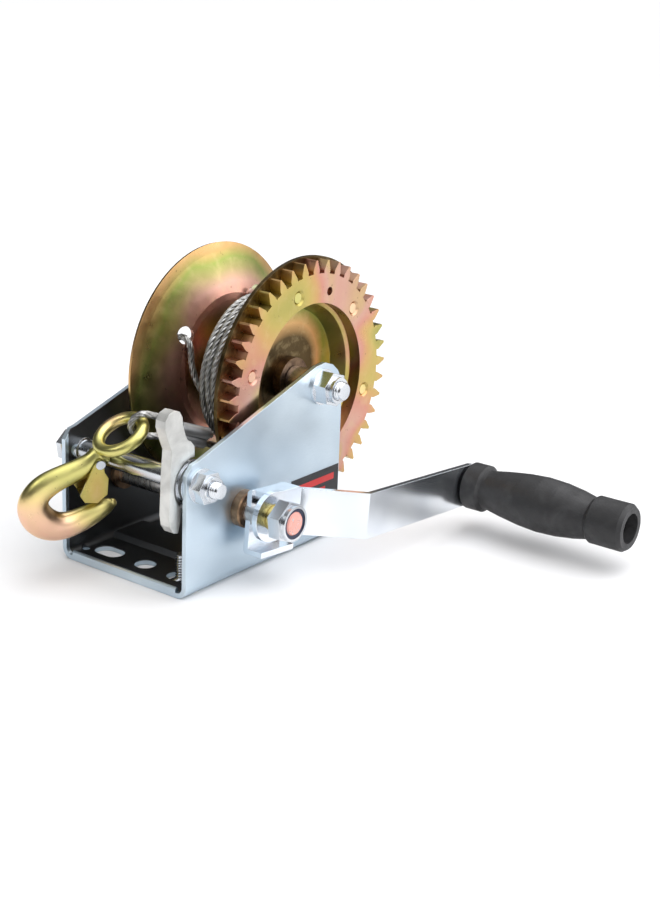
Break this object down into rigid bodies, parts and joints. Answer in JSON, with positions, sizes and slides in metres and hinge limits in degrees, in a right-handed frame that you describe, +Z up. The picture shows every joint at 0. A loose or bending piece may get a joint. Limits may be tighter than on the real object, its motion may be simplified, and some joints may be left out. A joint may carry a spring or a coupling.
{
  "type": "boat trailer winch",
  "caption": "Hand-cranked geared cable winch in a folded steel channel frame, with wound wire rope, two-way pawl, crank handle and latched snap hook.",
  "frame": {"origin": "centre of the middle mounting hole, on the underside of the base", "axes": "+Z up, +Y from the front cross rod towards the drum and crank, +X towards the crank side"},
  "size_m": [0.2737, 0.2668, 0.1776],
  "materials": {
    "zinc_plate": "satin",
    "bright_zinc": "polished",
    "white_zinc": "satin",
    "yellow_zinc": "iridescent satin",
    "machined_steel": "turned",
    "bronze_bushing": "oiled",
    "cast_zinc": "matte cast",
    "dull_alloy": "dull",
    "wire_rope": "stranded",
    "label_vinyl": "printed",
    "black_stud": "black oxide",
    "nylon": "matte",
    "black_grip": "textured"
  },
  "bodies": {
    "frame": {"frame_channel": "zinc_plate", "front_spacer_tube": "bright_zinc", "front_bolt": "bright_zinc", "front_nut": "bright_zinc", "front_washer": "bright_zinc", "pawl_washers": "bright_zinc", "drum_axle_bolt": "bright_zinc", "drum_axle_nut": "bright_zinc", "drum_axle_washer": "bright_zinc", "drum_axle_spacers": "bright_zinc", "shaft_bushing_left": "bronze_bushing", "shaft_bushing_right": "bronze_bushing", "warning_label": "label_vinyl", "base_stud": "black_stud", "live_cable": "wire_rope", "cable_ferrule": "dull_alloy"},
    "drum": {"drum_core": "yellow_zinc", "drum_flange_left": "yellow_zinc", "drum_flange_right": "yellow_zinc", "drum_gear": "yellow_zinc", "gear_rivets": "yellow_zinc", "drum_bushes": "bronze_bushing", "cable_winding": "wire_rope", "cable_dead_end": "wire_rope", "cable_clamp_bolt": "bright_zinc"},
    "crank": {"pinion_shaft": "machined_steel", "drive_pinion": "machined_steel", "shaft_retaining_ring": "bright_zinc", "crank_arm": "white_zinc", "crank_lock_nut": "bright_zinc", "lock_nut_insert": "nylon", "grip_pin": "machined_steel"},
    "grip": {"handle_grip": "black_grip"},
    "pawl": {"pawl_lever": "cast_zinc"},
    "hook": {"cable_hook": "yellow_zinc", "latch_rivet": "bright_zinc"},
    "latch": {"hook_latch": "yellow_zinc"}
  },
  "joints": [
    {"name": "drum_spin", "type": "hinge", "parent": "frame", "child": "drum", "pos_m": [0, 0.1006, 0.1006], "axis": [1, 0, 0], "continuous": true},
    {"name": "crank_spin", "type": "hinge", "parent": "frame", "child": "crank", "pos_m": [0, 0.0292, 0.0429], "axis": [1, 0, 0], "continuous": true},
    {"name": "grip_spin", "type": "hinge", "parent": "crank", "child": "grip", "pos_m": [0.15, 0.18948, 0.02765], "axis": [1, 0, 0], "continuous": true},
    {"name": "pawl_tilt", "type": "hinge", "parent": "frame", "child": "pawl", "pos_m": [0, -0.0082, 0.0665], "axis": [1, 0, 0], "range_deg": [-30, 35]},
    {"name": "hook_swing", "type": "hinge", "parent": "frame", "child": "hook", "pos_m": [0.00027, -0.00285, 0.09008], "axis": [-0.7617, 0.5848, 0.279], "range_deg": [0, 24]},
    {"name": "latch_open", "type": "hinge", "parent": "hook", "child": "latch", "pos_m": [-0.01733, -0.02216, 0.07031], "axis": [-0.8621, 0.4732, 0.1814], "range_deg": [0, 18], "stiffness_Nm_per_rad": 0.02}
  ],
  "couplings": [
    {"joint": "crank_spin", "follows": "drum_spin", "ratio": -4.1}
  ]
}
